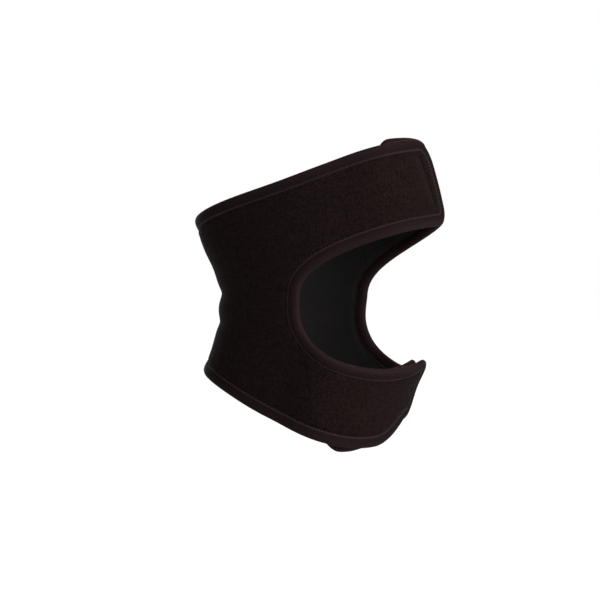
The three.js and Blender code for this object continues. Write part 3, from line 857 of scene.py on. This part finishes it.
def jersey_face():
    """Nylon jersey on the foam rubber's inner side: close, smooth and a little silkier than the outer
    face, with upright wales. Real wales are 0.6 mm apart, and drawn wider so that they show."""
    material, tree, shader = new_material("nylon_jersey")
    at = add_node(tree, "ShaderNodeUVMap", uv_map="surface_metres").outputs["UV"]
    split = add_node(tree, "ShaderNodeSeparateXYZ", {"Vector": at})
    wale = add_node(tree, "ShaderNodeMath", {
        0: split.outputs["X"], 1: 2 * math.pi / WALE,
    }, operation="MULTIPLY")
    wale = add_node(tree, "ShaderNodeMath", {0: wale.outputs[0]}, operation="COSINE")
    course = add_node(tree, "ShaderNodeMath", {
        0: split.outputs["Y"], 1: 2 * math.pi / COURSE,
    }, operation="MULTIPLY")
    course = add_node(tree, "ShaderNodeMath", {0: course.outputs[0]}, operation="COSINE")
    loops = add_node(tree, "ShaderNodeMath", {0: wale.outputs[0], 1: course.outputs[0]}, operation="ADD")
    object_at = add_node(tree, "ShaderNodeTexCoord").outputs["Object"]
    fuzz = add_node(tree, "ShaderNodeTexNoise", {
        "Vector": object_at, "Scale": 1 / JERSEY_FUZZ, "Detail": 2, "Roughness": 0.5,
    }).outputs["Fac"]
    patches = add_node(tree, "ShaderNodeTexNoise", {
        "Vector": object_at, "Scale": 1 / JERSEY_PATCH, "Detail": 2, "Roughness": 0.5,
    }).outputs["Fac"]
    colour = add_node(tree, "ShaderNodeMix", {
        0: patches, 6: linear("#0b090a"), 7: linear("#110e10"),
    }, data_type="RGBA")
    tree.links.new(colour.outputs[2], shader.inputs["Base Color"])
    height = add_node(tree, "ShaderNodeMath", {
        0: loops.outputs[0], 1: 0.25, 2: fuzz,
    }, operation="MULTIPLY_ADD")
    bump = add_node(tree, "ShaderNodeBump", {
        "Height": height.outputs[0], "Strength": 0.6, "Distance": 0.12 * MM,
    })
    tree.links.new(bump.outputs["Normal"], shader.inputs["Normal"])
    shader.inputs["Roughness"].default_value = 0.8
    shader.inputs["Specular IOR Level"].default_value = 0.12
    shader.inputs["Sheen Weight"].default_value = 0.01
    shader.inputs["Sheen Roughness"].default_value = 0.4
    return material


def woven_tape():
    """Woven polyester binding tape, ribbed lengthwise: close and even, a little paler and smoother
    than the pile, with a painted highlight along its fold and fine cross picks. Real picks are
    0.4 mm apart, and drawn wider so that they show. The UV map's Y is the distance from the fold."""
    material, tree, shader = new_material("woven_polyester_tape")
    at = add_node(tree, "ShaderNodeUVMap", uv_map="surface_metres").outputs["UV"]
    split = add_node(tree, "ShaderNodeSeparateXYZ", {"Vector": at})
    pick = add_node(tree, "ShaderNodeMath", {
        0: split.outputs["X"], 1: 2 * math.pi / PICK,
    }, operation="MULTIPLY")
    pick = add_node(tree, "ShaderNodeMath", {0: pick.outputs[0]}, operation="COSINE")
    object_at = add_node(tree, "ShaderNodeTexCoord").outputs["Object"]
    fuzz = add_node(tree, "ShaderNodeTexNoise", {
        "Vector": object_at, "Scale": 1 / TAPE_FUZZ, "Detail": 2, "Roughness": 0.5,
    }).outputs["Fac"]
    drawn = add_node(tree, "ShaderNodeMapping", {"Vector": at, "Scale": (0.2, 1, 1)})
    streaks = add_node(tree, "ShaderNodeTexNoise", {
        "Vector": drawn.outputs["Vector"], "Scale": 1 / STREAK, "Detail": 2, "Roughness": 0.7,
    }).outputs["Fac"]
    # Painted highlight along the tape's fold: paler near the fold, fading towards the stitches
    from_fold = add_node(tree, "ShaderNodeMath", {0: split.outputs["Y"]}, operation="ABSOLUTE")
    fold_highlight = add_node(tree, "ShaderNodeMapRange", {
        "Value": from_fold.outputs[0], "From Min": FOLD_HIGHLIGHT_FROM, "From Max": FOLD_HIGHLIGHT_TO,
        "To Min": 0.85, "To Max": 0.15,
    })
    share = add_node(tree, "ShaderNodeMath", {0: streaks, 1: -0.5}, operation="ADD")
    share = add_node(tree, "ShaderNodeMath", {
        0: share.outputs[0], 1: 1.3, 2: fold_highlight.outputs["Result"],
    }, operation="MULTIPLY_ADD", use_clamp=True)
    colour = add_node(tree, "ShaderNodeMix", {
        0: share.outputs[0], 6: linear("#130b0c"), 7: linear("#201516"),
    }, data_type="RGBA")
    tree.links.new(colour.outputs[2], shader.inputs["Base Color"])
    height = add_node(tree, "ShaderNodeMath", {
        0: pick.outputs[0], 1: 0.35, 2: fuzz,
    }, operation="MULTIPLY_ADD")
    bump = add_node(tree, "ShaderNodeBump", {
        "Height": height.outputs[0], "Strength": 0.7, "Distance": 0.1 * MM,
    })
    tree.links.new(bump.outputs["Normal"], shader.inputs["Normal"])
    shader.inputs["Roughness"].default_value = 0.75
    shader.inputs["Specular IOR Level"].default_value = 0.03
    return material


def polyester_thread():
    """Spun polyester sewing thread: round, a little shiny, a shade paler than the tape."""
    material, tree, shader = new_material("spun_polyester_thread")
    at = add_node(tree, "ShaderNodeTexCoord").outputs["Object"]
    twist = add_node(tree, "ShaderNodeTexNoise", {
        "Vector": at, "Scale": 1 / TWIST, "Detail": 1, "Roughness": 0.5,
    }).outputs["Fac"]
    colour = add_node(tree, "ShaderNodeMix", {
        0: twist, 6: linear("#231a1b"), 7: linear("#33282a"),
    }, data_type="RGBA")
    tree.links.new(colour.outputs[2], shader.inputs["Base Color"])
    bump = add_node(tree, "ShaderNodeBump", {"Height": twist, "Strength": 0.5, "Distance": 0.06 * MM})
    tree.links.new(bump.outputs["Normal"], shader.inputs["Normal"])
    shader.inputs["Roughness"].default_value = 0.55
    shader.inputs["Specular IOR Level"].default_value = 0.12
    return material


def hook_nylon():
    """Moulded nylon hook tape: a close field of tiny matt hooks."""
    material, tree, shader = new_material("nylon_hook_tape")
    at = add_node(tree, "ShaderNodeTexCoord").outputs["Object"]
    hooks = add_node(tree, "ShaderNodeTexVoronoi", {"Vector": at, "Scale": 1 / HOOK}).outputs["Distance"]
    # Paler on the hooks' tops and darker between them: painted shade in the gaps
    colour = add_node(tree, "ShaderNodeMix", {
        0: hooks, 6: linear("#1e1d1f"), 7: linear("#0c0b0c"),
    }, data_type="RGBA")
    tree.links.new(colour.outputs[2], shader.inputs["Base Color"])
    bump = add_node(tree, "ShaderNodeBump", {
        "Height": hooks, "Strength": 1.0, "Distance": 0.4 * MM,
    }, invert=True)
    tree.links.new(bump.outputs["Normal"], shader.inputs["Normal"])
    shader.inputs["Roughness"].default_value = 0.6
    return material


def studio_paper():
    """White studio paper: matt and even, with a trace of grain."""
    material, tree, shader = new_material("white_studio_paper")
    at = add_node(tree, "ShaderNodeTexCoord").outputs["Object"]
    grain = add_node(tree, "ShaderNodeTexNoise", {
        "Vector": at, "Scale": 1 / PAPER_GRAIN, "Detail": 2, "Roughness": 0.5,
    }).outputs["Fac"]
    colour = add_node(tree, "ShaderNodeMix", {
        0: grain, 6: linear("#f9f9f9"), 7: linear("#fdfdfd"),
    }, data_type="RGBA")
    tree.links.new(colour.outputs[2], shader.inputs["Base Color"])
    shader.inputs["Roughness"].default_value = 1.0
    shader.inputs["Specular IOR Level"].default_value = 0.0
    return material


def stitch_tree(material):
    """Geometry nodes that sew along a closed path: straight bars across it, and between them flatter
    returns that slant to the next bar. Each point of the path has the direction off the cloth."""
    tree = bpy.data.node_groups.new("barred_stitches", "GeometryNodeTree")
    tree.interface.new_socket(name="Path", in_out="INPUT", socket_type="NodeSocketGeometry")
    for name in ("Advance", "Width", "Thread"):
        socket = tree.interface.new_socket(name=name, in_out="INPUT", socket_type="NodeSocketFloat")
        socket.subtype = "DISTANCE"
    tree.interface.new_socket(name="Seed", in_out="INPUT", socket_type="NodeSocketInt")
    tree.interface.new_socket(name="Stitches", in_out="OUTPUT", socket_type="NodeSocketGeometry")
    given = tree.nodes.new("NodeGroupInput").outputs

    path = add_node(tree, "GeometryNodeMeshToCurve", {"Mesh": given["Path"]})
    holes = add_node(tree, "GeometryNodeResampleCurve", {
        "Curve": path.outputs["Curve"], "Length": given["Advance"],
    }, mode="LENGTH")

    # One stitch of thread: an arch along X whose ends sink into the cloth
    pitch = add_node(tree, "ShaderNodeMath", {
        0: given["Advance"], 1: 2.0,
    }, operation="MULTIPLY").outputs[0]
    along_square = add_node(tree, "ShaderNodeMath", {0: pitch, 1: 2.0}, operation="POWER")
    across_square = add_node(tree, "ShaderNodeMath", {0: given["Width"], 1: 2.0}, operation="POWER")
    squares = add_node(tree, "ShaderNodeMath", {
        0: along_square.outputs[0], 1: across_square.outputs[0],
    }, operation="ADD")
    slanted = add_node(tree, "ShaderNodeMath", {0: squares.outputs[0]}, operation="SQRT").outputs[0]
    right = add_node(tree, "ShaderNodeMath", {0: slanted, 1: 0.5}, operation="MULTIPLY").outputs[0]
    left = add_node(tree, "ShaderNodeMath", {0: right, 1: -1.0}, operation="MULTIPLY").outputs[0]
    sunk = add_node(tree, "ShaderNodeMath", {
        0: given["Thread"], 1: SUNK_THREADS,
    }, operation="MULTIPLY").outputs[0]
    start = add_node(tree, "ShaderNodeCombineXYZ", {"X": left, "Z": sunk})
    top = add_node(tree, "ShaderNodeCombineXYZ", {"X": 0.0, "Z": given["Thread"]})
    end = add_node(tree, "ShaderNodeCombineXYZ", {"X": right, "Z": sunk})
    arch = add_node(tree, "GeometryNodeCurveQuadraticBezier", {
        "Resolution": 4, "Start": start.outputs[0], "Middle": top.outputs[0], "End": end.outputs[0],
    })
    radius = add_node(tree, "ShaderNodeMath", {0: given["Thread"], 1: 0.5}, operation="MULTIPLY")
    round_thread = add_node(tree, "GeometryNodeCurvePrimitiveCircle", {
        "Resolution": 5, "Radius": radius.outputs[0],
    })
    thread = add_node(tree, "GeometryNodeCurveToMesh", {
        "Curve": arch.outputs["Curve"], "Profile Curve": round_thread.outputs["Curve"],
        "Fill Caps": True,
    })

    # Even holes carry a bar, turned across the path and as long as it is wide. Odd holes carry a
    # flatter return at its full length, slanted to the next bar.
    number = add_node(tree, "GeometryNodeInputIndex").outputs[0]
    odd = add_node(tree, "ShaderNodeMath", {0: number, 1: 2.0}, operation="MODULO").outputs[0]
    even = add_node(tree, "ShaderNodeMath", {0: 1.0, 1: odd}, operation="SUBTRACT").outputs[0]
    bar = add_node(tree, "ShaderNodeMath", {0: given["Width"], 1: slanted}, operation="DIVIDE")
    long_scale = add_node(tree, "ShaderNodeMath", {
        0: even, 1: bar.outputs[0], 2: odd,
    }, operation="MULTIPLY_ADD")
    high_scale = add_node(tree, "ShaderNodeMath", {
        0: odd, 1: -FLATTER_RETURN, 2: 1.0,
    }, operation="MULTIPLY_ADD")
    shape = add_node(tree, "ShaderNodeCombineXYZ", {
        "X": long_scale.outputs[0], "Y": 1.0, "Z": high_scale.outputs[0],
    })
    slant = add_node(tree, "ShaderNodeMath", {0: given["Width"], 1: pitch}, operation="ARCTAN2")
    across = add_node(tree, "ShaderNodeMath", {0: even, 1: math.pi / 2}, operation="MULTIPLY")
    lean = add_node(tree, "ShaderNodeMath", {
        0: slant.outputs[0], 1: odd, 2: across.outputs[0],
    }, operation="MULTIPLY_ADD")
    stray = add_node(tree, "FunctionNodeRandomValue", {
        "Min": -STRAY, "Max": STRAY, "ID": number, "Seed": given["Seed"],
    }, data_type="FLOAT")
    turn = add_node(tree, "ShaderNodeMath", {
        0: lean.outputs[0], 1: stray.outputs["Value"],
    }, operation="ADD")
    turned = add_node(tree, "FunctionNodeAxisAngleToRotation", {
        "Axis": (0, 0, 1), "Angle": turn.outputs[0],
    })

    # The thread lies on the cloth, with its X along the path
    facing = add_node(tree, "GeometryNodeInputNamedAttribute", {
        "Name": "facing",
    }, data_type="FLOAT_VECTOR")
    along = add_node(tree, "GeometryNodeInputTangent")
    lie = add_node(tree, "FunctionNodeAxesToRotation", {
        "Primary Axis": facing.outputs["Attribute"], "Secondary Axis": along.outputs["Tangent"],
    }, primary_axis="Z", secondary_axis="X")
    aimed = add_node(tree, "FunctionNodeRotateRotation", {
        "Rotation": lie.outputs["Rotation"], "Rotate By": turned.outputs["Rotation"],
    }, rotation_space="LOCAL")
    sewn = add_node(tree, "GeometryNodeInstanceOnPoints", {
        "Points": holes.outputs["Curve"], "Instance": thread.outputs["Mesh"],
        "Rotation": aimed.outputs["Rotation"], "Scale": shape.outputs[0],
    })
    real = add_node(tree, "GeometryNodeRealizeInstances", {"Geometry": sewn.outputs["Instances"]})
    smooth = add_node(tree, "GeometryNodeSetShadeSmooth", {"Geometry": real.outputs["Geometry"]})
    coloured = add_node(tree, "GeometryNodeSetMaterial", {
        "Geometry": smooth.outputs["Geometry"], "Material": material,
    })
    add_node(tree, "NodeGroupOutput", {"Stitches": coloured.outputs["Geometry"]})
    return tree


def input_of(tree, name):
    """The identifier of a tree's input."""
    inputs = (item for item in tree.interface.items_tree if item.in_out == "INPUT")
    return next(item.identifier for item in inputs if item.name == name)


def make_stitches(settings, waves):
    """Barred stitches over the tape's edge, on both faces of the cloth."""
    outline = Outline(PATH_CELL)
    tape_depth = TAPE_WIDTH - settings.on_tape / MM
    cloth_depth = TAPE_WIDTH + settings.on_cloth / MM
    points, facing = [], []
    for side in (1, -1):
        on_tape = outline.ring(tape_depth, side * tape_level(tape_depth), waves)
        on_cloth = outline.ring(cloth_depth, side * rim_level(cloth_depth), waves)
        path = (on_tape + on_cloth) / 2
        along = np.roll(path, -1, 0) - np.roll(path, 1, 0)
        points.append(path)
        facing.append(unit(np.cross(along, on_cloth - on_tape)) * side)
    count = len(outline.loop)
    starts = np.arange(count)
    edges = np.stack([starts, (starts + 1) % count], -1)
    edges = np.concatenate([edges, edges + count])
    mesh = bpy.data.meshes.new("stitch_path")
    mesh.from_pydata((np.concatenate(points) * MM).tolist(), edges.tolist(), [])
    layer = mesh.attributes.new("facing", "FLOAT_VECTOR", "POINT")
    layer.data.foreach_set("vector", np.concatenate(facing).astype(np.float32).reshape(-1))
    path = bpy.data.objects.new("stitch_path", mesh)
    bpy.context.scene.collection.objects.link(path)

    tree = stitch_tree(polyester_thread())
    sewing = path.modifiers.new("stitches", "NODES")
    sewing.node_group = tree
    sewing[input_of(tree, "Advance")] = settings.advance
    sewing[input_of(tree, "Width")] = settings.on_tape + settings.on_cloth
    sewing[input_of(tree, "Thread")] = settings.thread
    sewing[input_of(tree, "Seed")] = STITCH_SEED
    return bake_nodes(path, "edge_stitches")


def bake_nodes(carrier, name):
    """Turns what a carrier's modifiers make into a plain mesh object, and removes the carrier."""
    evaluated = carrier.evaluated_get(bpy.context.evaluated_depsgraph_get())
    mesh = bpy.data.meshes.new_from_object(evaluated)
    mesh.name = name
    made = bpy.data.objects.new(name, mesh)
    bpy.context.scene.collection.objects.link(made)
    bpy.data.objects.remove(carrier)
    if not mesh.polygons:
        raise RuntimeError(f"{name} came out empty")
    return made


def add_sun(name, side, height, width, strength):
    """A soft light that comes evenly from one side, with its angles in radians: side is its turn from
    +X towards +Y, height its angle over the floor and width its spread."""
    data = bpy.data.lights.new(name, "SUN")
    data.angle = width
    data.energy = strength
    light = bpy.data.objects.new(name, data)
    level = math.cos(height)
    source = Vector((level * math.cos(side), level * math.sin(side), math.sin(height)))
    light.location = source
    light.rotation_euler = (-source).to_track_quat("-Z", "Y").to_euler()
    bpy.context.scene.collection.objects.link(light)


def make_stage(settings):
    """White floor, white backdrop, three wide soft lights and the camera."""
    scene = bpy.context.scene
    z = cad_bounds[0].z - settings.floor_gap
    low, high = -FLOOR_REACH, FLOOR_REACH
    corners = [(low, low, z), (high, low, z), (high, high, z), (low, high, z)]
    mesh = bpy.data.meshes.new("floor")
    mesh.from_pydata(corners, [], [(0, 1, 2, 3)])
    mesh.materials.append(studio_paper())
    floor = bpy.data.objects.new("floor", mesh)
    scene.collection.objects.link(floor)

    # The backdrop only shows behind the strap. It lights nothing, so that dark cloth stays dark.
    world = bpy.data.worlds.new("studio")
    world.use_nodes = True
    backdrop = world.node_tree.nodes["Background"]
    backdrop.inputs["Color"].default_value = (1, 1, 1, 1)
    world.cycles_visibility.diffuse = False
    world.cycles_visibility.glossy = False
    scene.world = world
    scene.view_settings.view_transform = "Standard"

    azimuth = settings.azimuth
    right = Vector((math.cos(azimuth), math.sin(azimuth), 0))
    toward = Vector((math.sin(azimuth), -math.cos(azimuth), 0))
    up = Vector((0, 0, 1))
    camera_side = azimuth - math.pi / 2
    for name, (side, height) in LIGHTS.items():
        side, height, spread = (math.radians(angle) for angle in (side, height, LIGHT_SPREAD))
        add_sun(name, camera_side + side, height, spread, getattr(settings, f"{name}_light"))

    target = right * (FRAME_PIXELS / 2 - ORIGIN_PIXEL[0]) * PIXEL
    target += up * (ORIGIN_PIXEL[1] - FRAME_PIXELS / 2) * PIXEL
    data = bpy.data.cameras.new("camera")
    data.lens = data.sensor_width * settings.distance / (FRAME_PIXELS * PIXEL)
    camera = bpy.data.objects.new("camera", data)
    camera.location = target + toward * settings.distance
    camera.rotation_euler = (-toward).to_track_quat("-Z", "Y").to_euler()
    scene.collection.objects.link(camera)
    scene.camera = camera


class StrapMakeCloth(bpy.types.Operator):
    """Makes the panel of foam rubber cloth, with its outer and inner face"""

    bl_idname = "patella_strap.make_cloth"
    bl_label = "Make the cloth"

    def execute(self, context):
        settings = context.scene.strap_cloth
        cloth = make_cloth(settings)
        cloth.data.materials.append(brushed_face(settings))
        cloth.data.materials.append(jersey_face())
        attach(cloth, "root")
        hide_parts("wrap_panel")
        return {"FINISHED"}


class StrapMakeTape(bpy.types.Operator):
    """Makes the ribbed tape that is folded over the panel's edge"""

    bl_idname = "patella_strap.make_tape"
    bl_label = "Make the edge tape"

    def execute(self, context):
        tape = make_tape(context.scene.strap_tape, context.scene.strap_cloth.wave / MM)
        tape.data.materials.append(woven_tape())
        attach(tape, "root")
        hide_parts("edge_binding")
        return {"FINISHED"}


class StrapMakeStitches(bpy.types.Operator):
    """Sews the barred stitches along the tape's edge"""

    bl_idname = "patella_strap.make_stitches"
    bl_label = "Sew the stitches"

    def execute(self, context):
        stitches = make_stitches(context.scene.strap_stitches, context.scene.strap_cloth.wave / MM)
        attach(stitches, "root")
        return {"FINISHED"}


class StrapFinishHooks(bpy.types.Operator):
    """Gives the hidden hook patches their nylon"""

    bl_idname = "patella_strap.finish_hooks"
    bl_label = "Finish the hook patches"

    def execute(self, context):
        nylon = hook_nylon()
        for name in ("upper_hook_patch", "lower_hook_patch"):
            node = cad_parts[name]
            node.data.materials.clear()
            node.data.materials.append(nylon)
        return {"FINISHED"}


class StrapMakeStage(bpy.types.Operator):
    """Makes the floor, the lights and the camera"""

    bl_idname = "patella_strap.make_stage"
    bl_label = "Make the stage"

    def execute(self, context):
        make_stage(context.scene.strap_stage)
        return {"FINISHED"}


class StrapPanel(bpy.types.Panel):
    """Lists the strap's settings and steps"""

    bl_idname = "VIEW3D_PT_patella_strap"
    bl_label = "Patella strap"
    bl_space_type = "VIEW_3D"
    bl_region_type = "UI"
    bl_category = "Patella strap"

    def draw(self, context):
        for group, operators in STEPS.items():
            box = self.layout.box()
            settings = getattr(context.scene, group)
            for name in settings.bl_rna.properties.keys():
                if name not in ("rna_type", "name"):
                    box.prop(settings, name)
            for operator in operators:
                box.operator(operator.bl_idname)


SETTINGS = {
    "strap_cloth": StrapClothSettings,
    "strap_tape": StrapTapeSettings,
    "strap_stitches": StrapStitchSettings,
    "strap_stage": StrapStageSettings,
}
STEPS = {
    "strap_stage": [StrapMakeStage],
    "strap_cloth": [StrapMakeCloth, StrapFinishHooks],
    "strap_tape": [StrapMakeTape],
    "strap_stitches": [StrapMakeStitches],
}
CLASSES = [*SETTINGS.values(), *(step for steps in STEPS.values() for step in steps), StrapPanel]


def register():
    for made in CLASSES:
        bpy.utils.register_class(made)
    for name, group in SETTINGS.items():
        setattr(bpy.types.Scene, name, PointerProperty(type=group))


def unregister():
    for name in SETTINGS:
        delattr(bpy.types.Scene, name)
    for made in reversed(CLASSES):
        bpy.utils.unregister_class(made)


def main():
    register()
    bpy.ops.patella_strap.make_stage()
    bpy.ops.patella_strap.make_cloth()
    bpy.ops.patella_strap.finish_hooks()
    bpy.ops.patella_strap.make_tape()
    bpy.ops.patella_strap.make_stitches()


if __name__ == "__main__":
    main()
